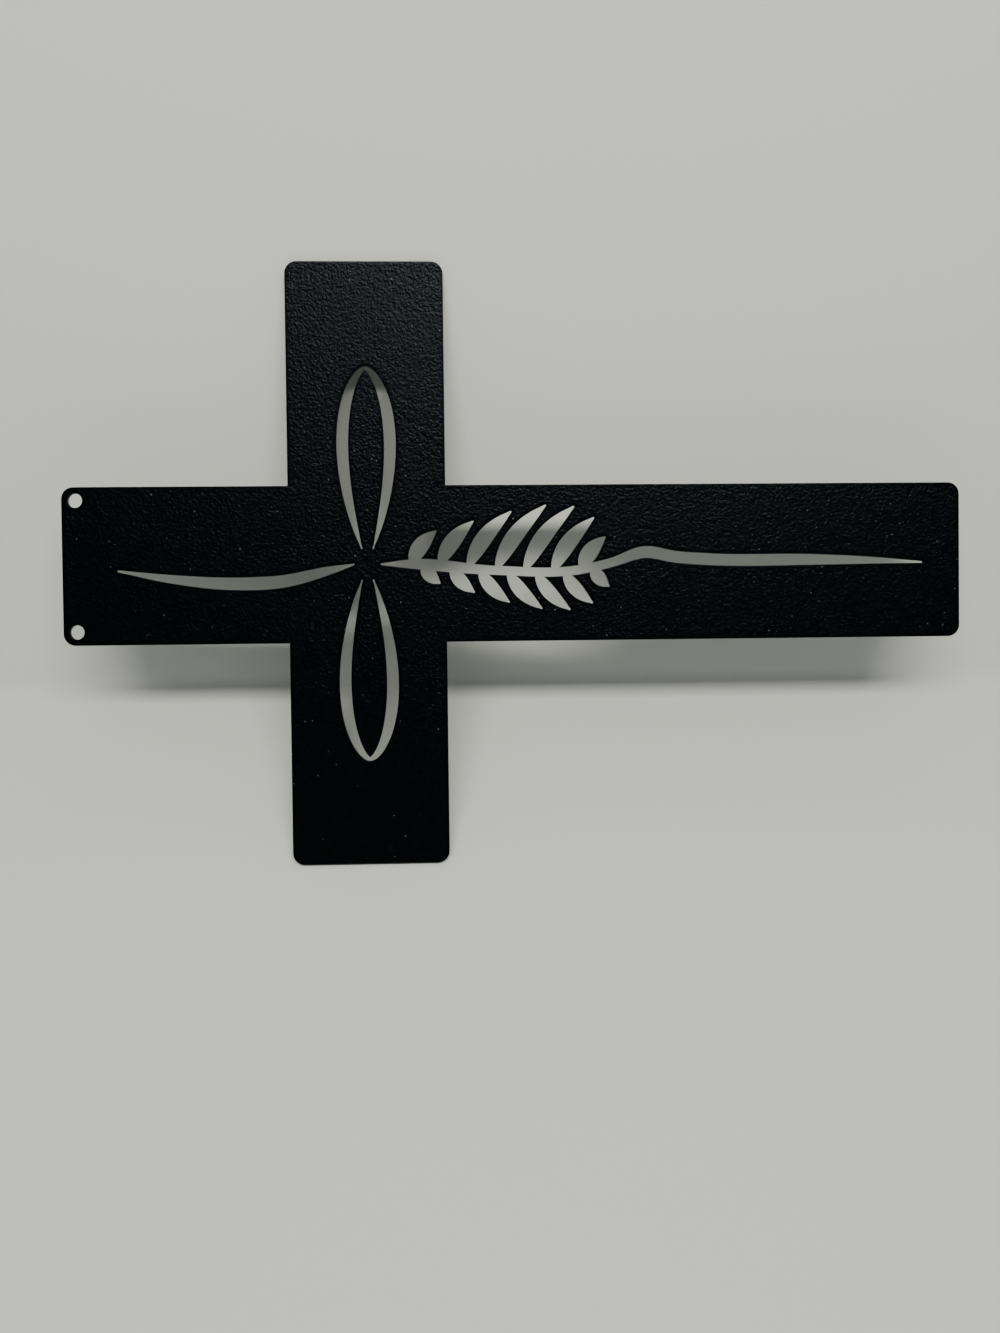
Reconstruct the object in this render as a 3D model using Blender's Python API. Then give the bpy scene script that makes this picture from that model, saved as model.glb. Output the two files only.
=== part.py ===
"""Wall cross cut from one sheet of steel and powder coated, with a leaf sprig and loops cut through it.

Metres, +Z up. The cross hangs upright with its head at the top and its face towards -Y. Its flat back
lies on the wall at y = 0, and the origin is on the back, midway between the two hanging holes.
The cuts are laid out from the crossing: "along" runs down the post to the foot and "across" is +X.
"""

import math

import bmesh
import bpy
import numpy as np

# Plate
LENGTH = 0.3048
SPAN = 0.2032
HEAD_REACH = 0.1016
POST_WIDTH = 0.0530
BAR_WIDTH = 0.0530
CORNER_RADIUS = 0.0040
STEEL_THICKNESS = 0.0015
COAT_THICKNESS = 0.0001

# Hanging holes in the head's two corners
HOLE_DIAMETER = 0.0048
HOLE_EDGE = 0.0045

# Cuts in general: the narrowest slot, how far the lines' inner ends stay from the crossing,
# and how far a cutter stands out of the plate on either side
TIP_WIDTH = 0.0006
CENTRE_GAP = 0.0046
CUT_OVERRUN = 0.0010

# Line in the head
HEAD_MARGIN = 0.0181
HEAD_SAG = 0.0062
HEAD_SLOT = 0.0042

# Loops up and down the crossbar
LOOP_MARGIN = 0.0356
LOOP_HALF_WIDTH = 0.0080
LOOP_SLOT = 0.0040
LOOP_TIP_SLOT = 0.0013
LOOP_BRIDGE = 0.0032

# Stem of the sprig and its long tail
STEM_SLOT = 0.0031
STEM_DIP = 0.0024
HUMP_RUN = 0.0219
HUMP_HEIGHT = 0.0034
TAIL_SLOT = 0.0040
TAIL_RISE = 0.0008
FOOT_MARGIN = 0.0127

# Leaves, long ones on the +X side of the stem and short ones on the other
LEAF_PAIRS = 7
LEAF_START = 0.0145
LEAF_PITCH = 0.0096
LEAF_SHORTEST = 0.0140
LEAF_EDGE_BAND = 0.0065
LEAF_WIDTH = 0.0056
LEAF_SLANT = math.radians(52)
LEAF_BOW = 0.07
SHORT_LEAF_SHARE = 0.62
SHORT_LEAF_WIDTH = 0.0048
SHORT_LEAF_SLANT = math.radians(-48)
SHORT_LEAF_STEP = 0.0040

# Shapes of the strokes, as powers of a sine: under 1 is fuller, over 1 is leaner
LEAF_FULLNESS = 0.75
LEAF_BELLY = 0.85
ROW_FULLNESS = 0.9
ROW_BELLY = 1.3
LOOP_POINT = 1.25
LOOP_TAPER = 0.7
LOOP_SWELL = 1.2
LOOP_ROOT_SWELL = 0.8

# Fineness of the outlines
CORNER_STEPS = 10
HOLE_SIDES = 32
LEAF_STEPS = 18
LOOP_STEPS = 72
LINE_STEP = 0.0021

# Worked out from the sizes above
THICKNESS = STEEL_THICKNESS + 2 * COAT_THICKNESS
HEAD_TOP = HOLE_EDGE
CROSSING_HEIGHT = HEAD_TOP - HEAD_REACH
FOOT_REACH = LENGTH - HEAD_REACH
HOLE_SPREAD = POST_WIDTH / 2 - HOLE_EDGE


def clear_scene():
    """Remove every object that the file starts with."""
    for obj in list(bpy.data.objects):
        bpy.data.objects.remove(obj, do_unlink=True)


def new_collection(name):
    """Make a collection in the scene."""
    collection = bpy.data.collections.new(name)
    bpy.context.scene.collection.children.link(collection)
    return collection


def powder_coat():
    """Near-black textured powder coat."""
    material = bpy.data.materials.new("powder_coat")
    material.use_nodes = True
    shader = material.node_tree.nodes["Principled BSDF"]
    shader.inputs["Base Color"].default_value = (0.011, 0.013, 0.013, 1)
    shader.inputs["Roughness"].default_value = 0.5
    shader.inputs["Metallic"].default_value = 0
    return material


def place(along, across):
    """Turn distances from the crossing into the plate's own x and z."""
    return np.column_stack([across, CROSSING_HEIGHT - np.asarray(along)])


def rounded_outline(corners, radii):
    """Outline through square corners, each rounded by its own radius.

    A round corner is a quarter circle about the point that lies one radius in from both its edges.
    """
    points = []
    turn = np.linspace(0, math.pi / 2, CORNER_STEPS + 1)[:, None]
    for index, (corner, radius) in enumerate(zip(corners, radii)):
        before = corners[index - 1] - corner
        after = corners[(index + 1) % len(corners)] - corner
        before /= np.linalg.norm(before)
        after /= np.linalg.norm(after)
        centre = corner + radius * (before + after)
        arc = centre - radius * (after * np.cos(turn) + before * np.sin(turn))
        points.append(arc if radius > 0 else corner[None])
    return np.vstack(points)


def cross_outline():
    """Outline of the cross: round outer corners, sharp inner ones."""
    post, bar, arm = POST_WIDTH / 2, BAR_WIDTH / 2, SPAN / 2
    half = np.array([
        (-HEAD_REACH, post, CORNER_RADIUS),
        (-bar, post, 0),
        (-bar, arm, CORNER_RADIUS),
        (bar, arm, CORNER_RADIUS),
        (bar, post, 0),
        (FOOT_REACH, post, CORNER_RADIUS),
    ])
    rows = np.vstack([half, half[::-1] * (1, -1, 1)])
    return rounded_outline(place(rows[:, 0], rows[:, 1]), rows[:, 2])


def through_knots(knots):
    """Smooth line through knots of (along, across, width).

    Between two knots each value is a cubic that has, at a knot, the slope of its neighbours' chord.
    """
    knots = np.array(knots)
    start, end = knots[0, 0], knots[-1, 0]
    along = np.linspace(start, end, 1 + math.ceil((end - start) / LINE_STEP))
    slope = np.gradient(knots[:, 1:], knots[:, 0], axis=0)
    piece = np.clip(np.searchsorted(knots[:, 0], along, side="right") - 1, 0, len(knots) - 2)
    run = (knots[piece + 1, 0] - knots[piece, 0])[:, None]
    t = (along - knots[piece, 0])[:, None] / run
    values = (
        (2 * t**3 - 3 * t**2 + 1) * knots[piece, 1:]
        + (t**3 - 2 * t**2 + t) * run * slope[piece]
        + (3 * t**2 - 2 * t**3) * knots[piece + 1, 1:]
        + (t**3 - t**2) * run * slope[piece + 1]
    )
    return np.column_stack([along, values])


def head_line():
    """Line in the head: it sags under the middle, swells and runs out to a point at both ends."""
    tip, end = HEAD_MARGIN - HEAD_REACH, -CENTRE_GAP
    shares = [
        (0.00, 0.26, 0.00),
        (0.22, 0.71, 0.60),
        (0.49, 1.00, 1.00),
        (0.71, 0.87, 1.00),
        (0.88, 0.37, 0.68),
        (1.00, 0.00, 0.00),
    ]
    return through_knots([
        (tip + share * (end - tip), -sag * HEAD_SAG, TIP_WIDTH + width * (HEAD_SLOT - TIP_WIDTH))
        for share, sag, width in shares
    ])


def stem_line():
    """Stem under the leaves, the small hump behind the last leaf and the long taper to the foot."""
    first = LEAF_START
    last = LEAF_START + (LEAF_PAIRS - 1) * LEAF_PITCH
    hump = last + HUMP_RUN
    level = hump + HUMP_RUN
    tip = FOOT_REACH - FOOT_MARGIN
    return through_knots([
        (CENTRE_GAP, 0, TIP_WIDTH),
        (first, 0, STEM_SLOT),
        ((first + last) / 2, -STEM_DIP, STEM_SLOT),
        (last, -STEM_DIP, STEM_SLOT),
        ((last + hump) / 2, 0, STEM_SLOT),
        (hump, HUMP_HEIGHT, TAIL_SLOT),
        ((hump + level) / 2, (HUMP_HEIGHT + 2 * TAIL_RISE) / 3, TAIL_SLOT),
        (level, TAIL_RISE, TAIL_SLOT),
        ((level + tip) / 2, TAIL_RISE / 2, 0.9 * TAIL_SLOT),
        ((level + 3 * tip) / 4, 0, 0.6 * TAIL_SLOT),
        (tip, -TAIL_RISE, TIP_WIDTH),
    ])


def leaf(along, across, length, slant, width, bow):
    """Leaf from a point on the stem: a bowed line, fattest a little before its middle."""
    t = np.linspace(0, 1, LEAF_STEPS)
    ahead = length * t
    aside = length * bow * np.sin(math.pi * t)
    return np.column_stack([
        along + ahead * math.cos(slant) - aside * math.sin(slant),
        across + ahead * math.sin(slant) + aside * math.cos(slant),
        np.maximum(TIP_WIDTH, width * np.sin(math.pi * t**LEAF_BELLY).clip(0) ** LEAF_FULLNESS),
    ])


def leaves():
    """Row of leaf pairs along the stem. They lengthen to just past the row's middle, then shorten."""
    stem = stem_line()
    longest = (POST_WIDTH / 2 - LEAF_EDGE_BAND + STEM_DIP) / math.sin(LEAF_SLANT)
    strokes = []
    for index in range(LEAF_PAIRS):
        share = index / (LEAF_PAIRS - 1)
        swell = max(0, math.sin(math.pi * share**ROW_BELLY)) ** ROW_FULLNESS
        length = LEAF_SHORTEST + (longest - LEAF_SHORTEST) * swell
        along = LEAF_START + index * LEAF_PITCH
        across = np.interp(along, stem[:, 0], stem[:, 1])
        strokes.append(leaf(along, across, length, LEAF_SLANT, LEAF_WIDTH, LEAF_BOW))
        along += SHORT_LEAF_STEP
        across = np.interp(along, stem[:, 0], stem[:, 1])
        length *= SHORT_LEAF_SHARE
        strokes.append(leaf(along, across, length, SHORT_LEAF_SLANT, SHORT_LEAF_WIDTH, -LEAF_BOW))
    return strokes


def teardrop(angle, reach):
    """Teardrop from the crossing, at angles 0 and a full turn, to its round tip at half a turn.

    It rises by half of 1 - cos(angle) and swings aside by sin(angle) and sin(half the angle), each
    to its own power.
    """
    swing = np.sin(angle)
    side = np.sign(swing) * np.abs(swing) ** LOOP_POINT * np.sin(angle / 2) ** LOOP_TAPER
    return reach * (1 - np.cos(angle)) / 2, LOOP_HALF_WIDTH * side / np.abs(side).max()


def loop(direction):
    """Hairpin slot round a teardrop, fine at its tip, with a bridge of metal left at its root."""
    reach = SPAN / 2 - LOOP_MARGIN
    angle = np.linspace(0, 2 * math.pi, 40 * LOOP_STEPS)
    side = np.abs(teardrop(angle, reach)[1])
    cut = np.flatnonzero(side >= (LOOP_BRIDGE + TIP_WIDTH) / 2)
    angle = np.linspace(angle[cut[0]], angle[cut[-1]], LOOP_STEPS)
    rise, side = teardrop(angle, reach)
    from_tip = np.abs(np.linspace(-1, 1, LOOP_STEPS))
    swell = np.sin(math.pi * from_tip).clip(0)
    near_tip = LOOP_TIP_SLOT + (LOOP_SLOT - LOOP_TIP_SLOT) * swell**LOOP_SWELL
    near_root = np.maximum(TIP_WIDTH, LOOP_SLOT * swell**LOOP_ROOT_SWELL)
    return np.column_stack([side, direction * rise, np.where(from_tip < 0.5, near_tip, near_root)])


def stroke_outline(stroke):
    """Outline of a stroke: both sides of its line, half a width away, with a small nose at each end."""
    line, half = stroke[:, :2], stroke[:, 2:] / 2
    heading = np.gradient(line, axis=0)
    heading /= np.linalg.norm(heading, axis=1)[:, None]
    aside = half * np.column_stack([-heading[:, 1], heading[:, 0]])
    heel = line[:1] - heading[:1] * half[0]
    nose = line[-1:] + heading[-1:] * half[-1]
    edge = np.vstack([heel, line + aside, nose, (line - aside)[::-1]])
    return place(edge[:, 0], edge[:, 1])


def flat_object(name, outline, thickness, collection):
    """Plate of the outline, between y = -thickness / 2 and thickness / 2 about the middle of the steel."""
    curve = bpy.data.curves.new(name, "CURVE")
    curve.dimensions = "2D"
    curve.fill_mode = "BOTH"
    curve.extrude = thickness / 2
    curve.render_resolution_u = 0
    spline = curve.splines.new("POLY")
    spline.points.add(len(outline) - 1)
    spline.points.foreach_set("co", np.pad(outline, ((0, 0), (0, 2))).ravel())
    spline.use_cyclic_u = True
    drawn = bpy.data.objects.new(name + "_outline", curve)
    drawn.location = (0, -THICKNESS / 2, 0)
    drawn.rotation_euler = (math.pi / 2, 0, 0)
    collection.objects.link(drawn)

    depsgraph = bpy.context.evaluated_depsgraph_get()
    mesh = bpy.data.meshes.new_from_object(drawn.evaluated_get(depsgraph))
    mesh.name = name
    shape = bmesh.new()
    shape.from_mesh(mesh)
    bmesh.ops.remove_doubles(shape, verts=shape.verts, dist=1e-6)
    bmesh.ops.recalc_face_normals(shape, faces=shape.faces)
    shape.to_mesh(mesh)
    shape.free()
    solid = bpy.data.objects.new(name, mesh)
    solid.matrix_world = drawn.matrix_world
    collection.objects.link(solid)
    bpy.data.objects.remove(drawn, do_unlink=True)
    return solid


def hole_cutter(name, across, collection):
    """Drill through one corner of the head, level with the origin."""
    shape = bmesh.new()
    bmesh.ops.create_cone(
        shape,
        cap_ends=True,
        segments=HOLE_SIDES,
        radius1=HOLE_DIAMETER / 2,
        radius2=HOLE_DIAMETER / 2,
        depth=THICKNESS + 2 * CUT_OVERRUN,
    )
    mesh = bpy.data.meshes.new(name)
    shape.to_mesh(mesh)
    shape.free()
    drill = bpy.data.objects.new(name, mesh)
    drill.location = (across, -THICKNESS / 2, 0)
    drill.rotation_euler = (math.pi / 2, 0, 0)
    collection.objects.link(drill)


def build():
    """Model the cross."""
    clear_scene()
    parts = new_collection("wall_cross")
    cutters = new_collection("cutters")

    strokes = [head_line(), stem_line(), loop(1), loop(-1), *leaves()]
    for index, stroke in enumerate(strokes):
        flat_object(f"slot_{index:02d}", stroke_outline(stroke), THICKNESS + 2 * CUT_OVERRUN, cutters)
    for name, across in (("left_hole", -HOLE_SPREAD), ("right_hole", HOLE_SPREAD)):
        hole_cutter(name, across, cutters)
    for cutter in cutters.objects:
        cutter.hide_render = True
        cutter.display_type = "WIRE"

    plate = flat_object("cross_plate", cross_outline(), THICKNESS, parts)
    plate.data.materials.append(powder_coat())
    cut = plate.modifiers.new("cut through", "BOOLEAN")
    cut.operation = "DIFFERENCE"
    cut.operand_type = "COLLECTION"
    cut.collection = cutters
    cut.solver = "EXACT"


build()
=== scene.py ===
"""Looks of the wall cross: the black textured powder coat on its steel, the white card that it leans on,
soft light and the camera.

Metres, in the part's own frame: +Z to the head of the cross, its face towards -Y and its back at y = 0.
The camera is rolled a quarter turn, so that the head is at the left and +X is up in the picture.
"""

import math

import bpy
import numpy as np
from mathutils import Euler, Matrix, Vector
from mathutils.geometry import delaunay_2d_cdt


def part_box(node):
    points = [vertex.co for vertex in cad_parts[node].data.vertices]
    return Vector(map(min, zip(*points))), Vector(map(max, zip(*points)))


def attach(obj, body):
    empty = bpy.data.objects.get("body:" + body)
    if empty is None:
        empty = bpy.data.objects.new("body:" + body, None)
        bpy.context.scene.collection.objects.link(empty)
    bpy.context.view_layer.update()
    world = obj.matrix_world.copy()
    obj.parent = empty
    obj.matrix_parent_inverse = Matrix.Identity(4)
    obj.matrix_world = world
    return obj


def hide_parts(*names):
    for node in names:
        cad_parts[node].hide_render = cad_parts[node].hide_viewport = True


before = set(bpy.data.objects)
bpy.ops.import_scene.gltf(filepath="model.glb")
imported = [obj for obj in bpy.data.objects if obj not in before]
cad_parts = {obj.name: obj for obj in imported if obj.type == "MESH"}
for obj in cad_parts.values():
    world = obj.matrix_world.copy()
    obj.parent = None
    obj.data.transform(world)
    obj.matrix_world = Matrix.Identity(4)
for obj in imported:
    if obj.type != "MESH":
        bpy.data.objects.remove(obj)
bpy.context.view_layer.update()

PLATE = "cross_plate"
MM = 0.001

# Corners of the solid that are closer than this are one
MERGE = 0.001 * MM

# Camera: a phone's main lens, close to the plate and nearly square to it
LENS = 27.0
SENSOR = 36.0
CAMERA_PLACE = (-28.8 * MM, -341.1 * MM, -129.3 * MM)
CAMERA_TILT = (math.radians(-1.04), math.radians(-2.06), math.radians(-0.66))

# The cross stands on its -X arm on a card, and leans with its +X arm on the part of it that is bent up
# behind. The card's corner is at this x and y. Its level part runs from there under the -X arm's end.
ARM_FOOT, ARM_TOP = (corner[0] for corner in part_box(PLATE))
MIDDLE = (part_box(PLATE)[0][2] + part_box(PLATE)[1][2]) / 2
CORNER = np.array([-45 * MM, 50 * MM])
CARD_BEND = 12 * MM
BEND_STEPS = 12
CARD_REACH = 1.1

# Soft light: each panel's place, out from the card's corner along its level part, up from that and
# along to the head from the middle of the cross, its width, depth, power and colour. The first lights
# the card alone, and the second is the coat's sheen alone.
PANELS = {
    "soft_panel": ((0.34, 0.94, 0.00), 0.80, 0.12, 9.3, "#FFFBF0"),
    "mirrored_panel": ((-0.10, 0.76, -0.10), 0.60, 0.15, 3.1, "#ECF2FF"),
}

# Strength of the room's light: on matt surfaces, as the coat mirrors it, and as it is seen
ROOM_LIGHT = 0.79
ROOM_MIRRORED = 0.045
ROOM_SEEN = 0.9

# Rounded, coated edges, and how far in from them the coat stays smooth
EDGE_ROUND = 0.25 * MM
SMOOTH_BAND = 1.0 * MM

# Gentle waves of the coat that the mesh carries: their length and its spread, height and number
WAVE_LENGTH = 2.2 * MM
WAVE_SPREAD = (0.8, 1.6)
WAVE_HEIGHT = 0.012 * MM
WAVES = 48

# Points of the mesh: apart along an edge, steps of its rounding, and apart on the face and the back.
# Distances to an edge are measured up to NEAR, for about BAND_POINTS at a time. Points closer than
# TOUCHING, in metres, are one to the triangulation. The seeds are those of the random shifts and waves.
EDGE_STEP = 1.0 * MM
ROUND_STEPS = 3
FACE_SPACING = 0.72 * MM
BACK_SPACING = 1.5 * MM
NEAR = 2 * MM
BAND_POINTS = 1000
TOUCHING = 1e-7
FACE_SEED = 1
BACK_SEED = 2

# Shares: of its inset that a point of the rounding keeps clear of other edges, of the spacing that a
# point of the face keeps clear of the rounding and is shifted by at most, and the least that a normal
# at a sharp tip is divided by
INSET_CLEAR = 0.75
FACE_CLEAR = 0.4
FACE_SHIFT = 0.2
TIP_LEAST = 0.4

# Grain of the coat, its pits and their share of its height, and the specks of dust on it
GRAIN = 0.68 * MM
PITS = 1.1 * MM
PIT_SHARE = 0.5
GRAIN_HEIGHT = 0.28 * MM
DUST_APART = 4 * MM
DUST_RADIUS = 0.19 * MM


def linear(colour):
    """sRGB hex value as linear red, green, blue and a full alpha."""
    parts = np.array([int(colour[i:i + 2], 16) for i in (1, 3, 5)]) / 255
    return (*np.where(parts <= 0.04045, parts / 12.92, ((parts + 0.055) / 1.055) ** 2.4), 1)


def node(tree, kind, settings=None, **links):
    """Add a node. Settings are its own values, and links are sockets, each a value or another's output."""
    new = tree.nodes.new(kind)
    for name, value in (settings or {}).items():
        setattr(new, name, value)
    for name, value in links.items():
        key = int(name[1:]) if name[0] == "_" else name.replace("_", " ")
        if isinstance(value, bpy.types.NodeSocket):
            tree.links.new(value, new.inputs[key])
        else:
            new.inputs[key].default_value = value
    return new


def new_material(name):
    """Empty material: its node tree and its output node."""
    material = bpy.data.materials.new(name)
    material.use_nodes = True
    material.node_tree.nodes.clear()
    return material, material.node_tree, material.node_tree.nodes.new("ShaderNodeOutputMaterial")


def powder_coat():
    """Fine-textured black polyester powder coat, sprayed on steel and baked.

    It is an opaque film of small hard grains with pits between them, so it is nearly black from the
    front and turns to a grey sheen of tiny glints where it mirrors a light. The pits swallow part of
    the light, so its specular level is low. At an edge it flows smooth, which the piece's attribute
    "grained" says. A few specks of pale dust lie on it.
    """
    material, tree, output = new_material("textured_powder_coat")
    place = node(tree, "ShaderNodeTexCoord").outputs["Object"]
    band = node(tree, "ShaderNodeAttribute", {"attribute_name": "grained"}).outputs["Fac"]
    grain = node(tree, "ShaderNodeTexNoise", Vector=place, Scale=1 / GRAIN, Detail=2.0, Roughness=0.6)
    pits = node(tree, "ShaderNodeTexVoronoi", {"feature": "SMOOTH_F1"}, Vector=place, Scale=1 / PITS,
                Smoothness=0.5)
    height = node(tree, "ShaderNodeMath", {"operation": "MULTIPLY_ADD"}, _0=pits.outputs["Distance"],
                  _1=-PIT_SHARE, _2=grain.outputs["Fac"])
    bump = node(tree, "ShaderNodeBump", Height=height.outputs[0], Distance=GRAIN_HEIGHT, Strength=band)
    cells = node(tree, "ShaderNodeTexVoronoi", Vector=place, Scale=1 / DUST_APART)
    close = node(tree, "ShaderNodeMath", {"operation": "LESS_THAN"}, _0=cells.outputs["Distance"],
                 _1=DUST_RADIUS / DUST_APART)
    dust = node(tree, "ShaderNodeMath", {"operation": "MULTIPLY"}, _0=close.outputs[0],
                _1=cells.outputs["Color"])
    colour = node(tree, "ShaderNodeMix", {"data_type": "RGBA"}, _0=dust.outputs[0],
                  A=linear("#010305"), B=linear("#8C9296"))
    shader = node(tree, "ShaderNodeBsdfPrincipled", Base_Color=colour.outputs["Result"], Roughness=0.33,
                  IOR=1.5, Specular_IOR_Level=0.3, Normal=bump.outputs[0])
    tree.links.new(shader.outputs[0], output.inputs["Surface"])
    return material


def face_outline(mesh):
    """Edges round the solid's face, as their start and end in x and z, with the metal on their left.

    The solid is loose triangles. Its corners are merged, and of the directed edges of the triangles
    in the plane y = lowest, those are kept that have no twin running the other way.
    """
    places = np.empty(3 * len(mesh.vertices), np.float32)
    mesh.vertices.foreach_get("co", places)
    corners = np.empty(len(mesh.loops), np.int32)
    mesh.loops.foreach_get("vertex_index", corners)
    places = places.reshape(-1, 3).astype(float)
    merged, names = np.unique(np.round(places / MERGE), axis=0, return_inverse=True)
    triangles = names.ravel()[corners].reshape(-1, 3)
    merged *= MERGE
    lowest = merged[:, 1].min()
    face = triangles[(merged[triangles, 1] < lowest + 10 * MERGE).all(axis=1)]
    edges = np.vstack([face[:, [0, 1]], face[:, [1, 2]], face[:, [2, 0]]])
    code = edges[:, 0] * len(merged) + edges[:, 1]
    twin = edges[:, 1] * len(merged) + edges[:, 0]
    edges = edges[~np.isin(code, twin)]
    return merged[edges[:, 0]][:, [0, 2]], merged[edges[:, 1]][:, [0, 2]]


def measure(points, start, end):
    """Distance from each point to the nearest edge, NEAR at most, and whether it lies in the metal.

    It does where a ray towards +X crosses an odd number of edges. The points are taken in bands of z,
    each with the edges at its own height.
    """
    low = np.minimum(start, end)[:, 1] - NEAR
    high = np.maximum(start, end)[:, 1] + NEAR
    distance, inside = np.full(len(points), NEAR), np.zeros(len(points), bool)
    for band in np.array_split(np.argsort(points[:, 1]), 1 + len(points) // BAND_POINTS):
        spots = points[band]
        beside = (low < spots[:, 1].max()) & (high > spots[:, 1].min())
        run = (end - start)[beside]
        gap = spots[:, None] - start[beside]
        share = np.clip((gap * run).sum(axis=2) / (run**2).sum(axis=1), 0, 1)
        apart = np.linalg.norm(gap - share[..., None] * run, axis=2).min(axis=1, initial=NEAR)
        crosses = (gap[..., 1] < 0) != (gap[..., 1] < run[:, 1])
        slope = run[:, 0] / np.where(run[:, 1] == 0, 1, run[:, 1])
        ahead = gap[..., 0] < gap[..., 1] * slope
        distance[band] = apart
        inside[band] = (crosses & ahead).sum(axis=1) % 2 == 1
    return distance, inside


def finer_outline(start, end):
    """Outline with points EDGE_STEP apart at most: the points, their next neighbours and their normals.

    A point's normal is the sum of its two edges' normals over 1 plus their product, which keeps an
    inset line parallel to both. It points into the metal.
    """
    count = np.ceil(np.linalg.norm(end - start, axis=1) / EDGE_STEP).astype(int)
    edge = np.repeat(np.arange(len(start)), count)
    first = np.repeat(np.cumsum(count) - count, count)
    share = ((np.arange(len(edge)) - first) / count[edge])[:, None]
    points = start[edge] * (1 - share) + end[edge] * share
    order = np.lexsort(np.round(start / MERGE).T)
    match = order[np.argsort(np.lexsort(np.round(end / MERGE).T))]
    follower = np.arange(len(edge)) + 1
    last = np.cumsum(count) - 1
    follower[last] = (np.cumsum(count) - count)[match]
    heading = points[follower] - points
    heading /= np.linalg.norm(heading, axis=1)[:, None]
    normal = np.column_stack([-heading[:, 1], heading[:, 0]])
    before = np.empty_like(normal)
    before[follower] = normal
    product = (before * normal).sum(axis=1)[:, None]
    return points, follower, (before + normal) / np.maximum(1 + product, TIP_LEAST)


def unevenness(points, seed):
    """Height of the coat's gentle waves at each point: waves in all directions, summed.

    Each wave is the cosine of the point's reach along its own heading, from its own start.
    """
    rng = np.random.default_rng(seed)
    heading = rng.uniform(0, 2 * math.pi, WAVES)
    number = 2 * math.pi / (WAVE_LENGTH * rng.uniform(*WAVE_SPREAD, WAVES))
    start = rng.uniform(0, 2 * math.pi, WAVES)
    reach = points @ (np.vstack([np.cos(heading), np.sin(heading)]) * number)
    return WAVE_HEIGHT * np.cos(reach + start).sum(axis=1) / math.sqrt(WAVES)


def skin(outline, start, end, spacing, seed):
    """One side of the coat: points in x and z, depth under the flat, share of grain, triangles and rim.

    Depth is EDGE_ROUND - sqrt(EDGE_ROUND^2 - (EDGE_ROUND - d)^2) at a distance d from the nearest edge,
    a quarter circle that ends on the flat, less the waves' height. Waves and grain rise from none at the
    end of that circle to their whole height at SMOOTH_BAND.
    """
    points, follower, normal = outline
    # Rings of points round every edge, for its rounding
    turn = np.linspace(0, math.pi / 2, ROUND_STEPS + 1)[1:]
    insets = EDGE_ROUND * (1 - np.cos(turn))
    rings = (points + insets[:, None, None] * normal).reshape(-1, 2)
    distance, inside = measure(rings, start, end)
    rings = rings[inside & (distance > INSET_CLEAR * np.repeat(insets, len(points)))]

    # Points on the rest of the face: the corners of a triangular grid, each shifted a little
    rng = np.random.default_rng(seed)
    low, high = points.min(axis=0), points.max(axis=0)
    row = spacing * math.sqrt(3) / 2
    z, x = np.mgrid[low[1]:high[1]:row, low[0]:high[0]:spacing]
    x[::2] += spacing / 2
    grid = np.column_stack([x.ravel(), z.ravel()])
    grid += rng.uniform(-FACE_SHIFT, FACE_SHIFT, grid.shape) * spacing
    distance, inside = measure(grid, start, end)
    grid = grid[inside & (distance > EDGE_ROUND + FACE_CLEAR * spacing)]

    # Triangles between them, without those that lie in a cut or outside
    flat = np.vstack([points, rings, grid])
    edges = np.column_stack([np.arange(len(points)), follower])
    spots, _, faces, origin, _, _ = delaunay_2d_cdt(
        [Vector(p) for p in flat.tolist()], edges.tolist(), [], 0, TOUCHING)
    spots, faces = np.array(spots), np.array(faces)
    place = np.empty(len(flat), int)
    place[np.concatenate(origin)] = np.repeat(np.arange(len(spots)), [len(names) for names in origin])
    rim = place[:len(points)]
    on_rim = np.isin(faces, rim).all(axis=1)
    keep = np.ones(len(faces), bool)
    keep[on_rim] = measure(spots[faces[on_rim]].mean(axis=1), start, end)[1]
    faces = faces[keep]

    # The rounding, and the waves on the rest
    distance, _ = measure(spots, start, end)
    distance[rim] = 0
    short = np.clip(EDGE_ROUND - distance, 0, None)
    depth = EDGE_ROUND - np.sqrt(EDGE_ROUND**2 - short**2)
    grained = np.clip((distance - EDGE_ROUND) / (SMOOTH_BAND - EDGE_ROUND), 0, 1)
    depth -= grained * unevenness(spots, seed)
    return spots, depth, grained, faces, rim


def coated_plate():
    """The plate in its coat: an uneven face and back with rounded edges, and the cut walls between.

    It keeps the solid's outline and thickness.
    """
    start, end = face_outline(bpy.data.objects[PLATE].data)
    outline = finer_outline(start, end)
    front, back = (box[1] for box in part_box(PLATE))
    near, near_depth, near_grain, near_faces, near_rim = skin(outline, start, end, FACE_SPACING, FACE_SEED)
    far, far_depth, far_grain, far_faces, far_rim = skin(outline, start, end, BACK_SPACING, BACK_SEED)
    spots = np.vstack([near, far])
    y = np.concatenate([front + near_depth, back - far_depth])
    verts = np.column_stack([spots[:, 0], y, spots[:, 1]])
    far_rim = far_rim + len(near)
    after = outline[1]
    walls = np.column_stack([near_rim, far_rim, far_rim[after], near_rim[after]])
    faces = near_faces.tolist() + (far_faces[:, ::-1] + len(near)).tolist() + walls.tolist()
    mesh = bpy.data.meshes.new("coated_plate")
    mesh.from_pydata(verts, [], faces)
    mesh.shade_smooth()
    grained = mesh.attributes.new("grained", "FLOAT", "POINT")
    grained.data.foreach_set("value", np.concatenate([near_grain, far_grain]))
    mesh.materials.append(powder_coat())
    piece = bpy.data.objects.new("coated_plate", mesh)
    bpy.context.scene.collection.objects.link(piece)
    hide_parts(PLATE)
    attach(piece, "root")
    return piece


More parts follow.
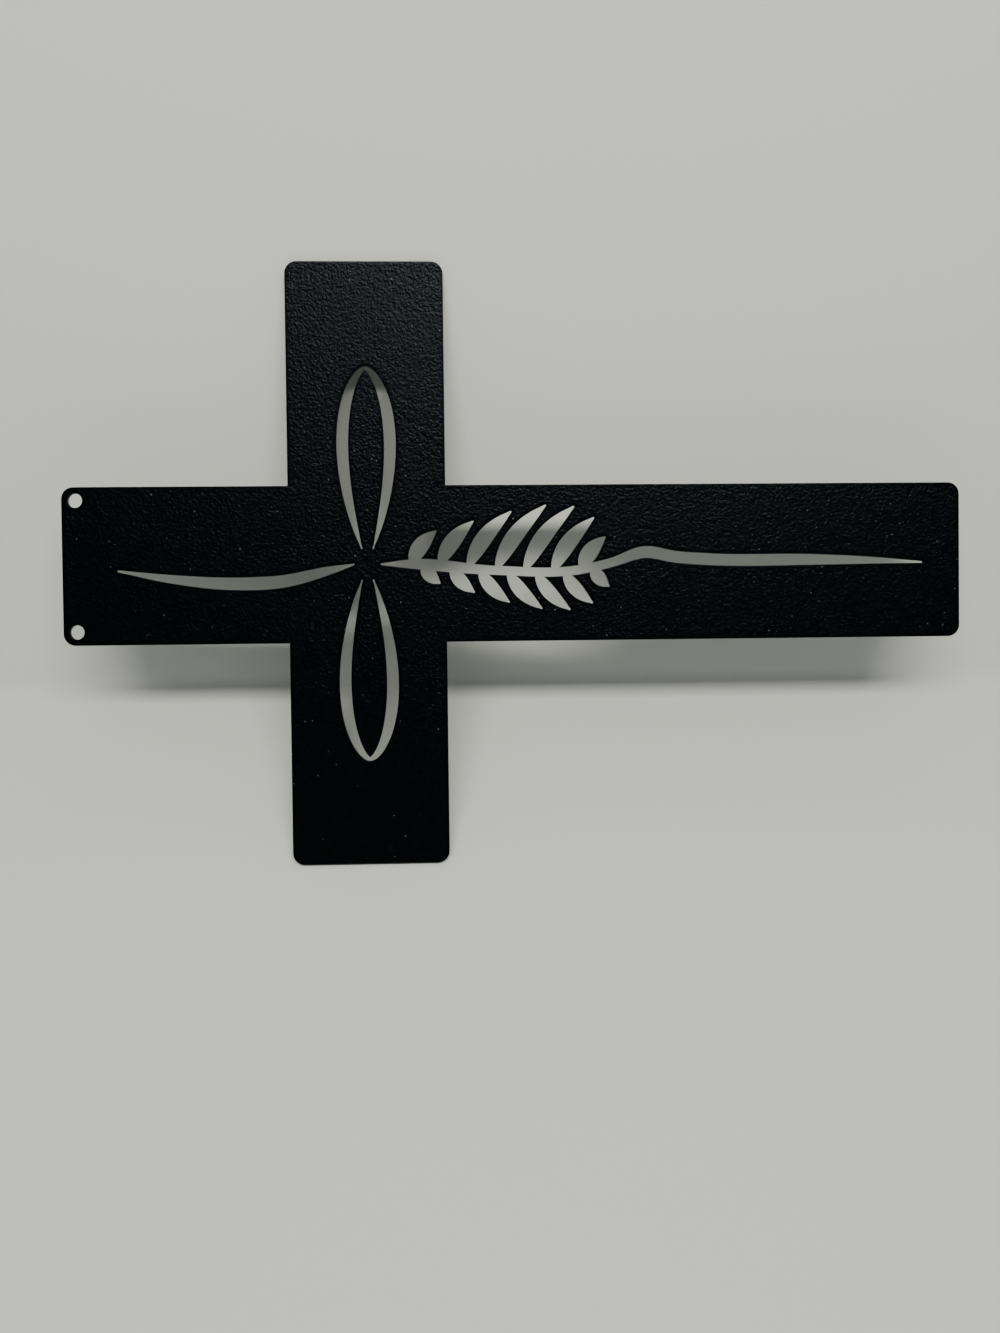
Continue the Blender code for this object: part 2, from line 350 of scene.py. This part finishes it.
def white_card():
    """Uncoated white card, matt and pale all over. Its back is see-through, so it hides the cross from
    no side.
    """
    material, tree, output = new_material("matt_white_card")
    shader = node(tree, "ShaderNodeBsdfPrincipled", Base_Color=linear("#DCDFDC"), Roughness=0.9)
    clear = node(tree, "ShaderNodeBsdfTransparent")
    side = node(tree, "ShaderNodeNewGeometry").outputs["Backfacing"]
    mix = node(tree, "ShaderNodeMixShader", _0=side, _1=shader.outputs[0], _2=clear.outputs[0])
    tree.links.new(mix.outputs[0], output.inputs["Surface"])
    return material


def unit(vector):
    """The same direction at length 1."""
    return vector / np.linalg.norm(vector)


def bent_card():
    """Card that the cross leans on: two flats and a round bend between them, carried along Z.

    The bend is an arc of radius CARD_BEND that touches both flats, with its centre on their bisector.
    A point of it is the sum of its first and last radii, each times the sine of the turn left to the
    other, over the sine of the whole turn.
    """
    rise = unit(np.array([ARM_TOP, 0]) - CORNER)
    level = unit(np.array([ARM_FOOT, 0]) - CORNER)
    half = math.acos(rise @ level) / 2
    centre = CORNER + CARD_BEND / math.sin(half) * unit(rise + level)
    first = unit(CORNER + CARD_BEND / math.tan(half) * rise - centre)
    last = unit(CORNER + CARD_BEND / math.tan(half) * level - centre)
    swing = math.acos(first @ last)
    turn = swing * np.linspace(0, 1, BEND_STEPS + 1)[:, None]
    bend = centre + CARD_BEND * (first * np.sin(swing - turn) + last * np.sin(turn)) / math.sin(swing)
    profile = np.vstack([CORNER + CARD_REACH * rise, bend, CORNER + CARD_REACH * level])
    z = MIDDLE + np.array([-CARD_REACH, CARD_REACH])
    verts = [(x, y, h) for x, y in profile for h in z]
    faces = [(2 * i, 2 * i + 1, 2 * i + 3, 2 * i + 2) for i in range(len(profile) - 1)]
    mesh = bpy.data.meshes.new("card_sheet")
    mesh.from_pydata(verts, [], faces)
    mesh.shade_smooth()
    mesh.materials.append(white_card())
    obj = bpy.data.objects.new("card_sheet", mesh)
    bpy.context.scene.collection.objects.link(obj)
    return obj


def lights():
    """Two wide soft panels overhead, in a pale room that the coat hardly mirrors."""
    world = bpy.data.worlds.new("pale_room")
    world.use_nodes = True
    tree = world.node_tree
    tree.nodes.clear()
    ray = node(tree, "ShaderNodeLightPath").outputs
    strength = node(tree, "ShaderNodeMath", {"operation": "MULTIPLY_ADD"}, _0=ray["Is Diffuse Ray"],
                    _1=ROOM_LIGHT, _2=ROOM_MIRRORED)
    glow = node(tree, "ShaderNodeBackground", Color=linear("#898C8A"), Strength=strength.outputs[0])
    pale = node(tree, "ShaderNodeBackground", Color=linear("#E8E9E6"), Strength=ROOM_SEEN)
    mix = node(tree, "ShaderNodeMixShader", _0=ray["Is Camera Ray"], _1=glow.outputs[0],
               _2=pale.outputs[0])
    node(tree, "ShaderNodeOutputWorld", Surface=mix.outputs[0])
    bpy.context.scene.world = world

    out = unit(np.array([ARM_FOOT, 0]) - CORNER)
    up = np.array([-out[1], out[0]])
    target = Vector((0, 0, MIDDLE))
    for name, (offset, width, depth, power, colour) in PANELS.items():
        place = Vector((*(CORNER + offset[0] * out + offset[1] * up), MIDDLE + offset[2]))
        lamp = bpy.data.lights.new(name, "AREA")
        lamp.shape = "RECTANGLE"
        lamp.size, lamp.size_y = depth, width
        lamp.energy = power
        lamp.color = linear(colour)[:3]
        obj = bpy.data.objects.new(name, lamp)
        obj.location = place
        obj.rotation_euler = (target - place).to_track_quat("-Z", "Y").to_euler()
        obj.visible_glossy = name == "mirrored_panel"
        obj.visible_diffuse = name != "mirrored_panel"
        bpy.context.scene.collection.objects.link(obj)


def camera():
    """Camera in front of the face, rolled a quarter turn so that +X is up."""
    data = bpy.data.cameras.new("camera")
    data.lens = LENS
    data.sensor_width = SENSOR
    obj = bpy.data.objects.new("camera", data)
    rolled = Matrix(((0, 1, 0), (0, 0, -1), (-1, 0, 0)))
    tilt = Euler(CAMERA_TILT).to_matrix()
    obj.matrix_world = Matrix.Translation(CAMERA_PLACE) @ (rolled @ tilt).to_4x4()
    bpy.context.scene.collection.objects.link(obj)
    bpy.context.scene.camera = obj


camera()
coated_plate()
bent_card()
lights()
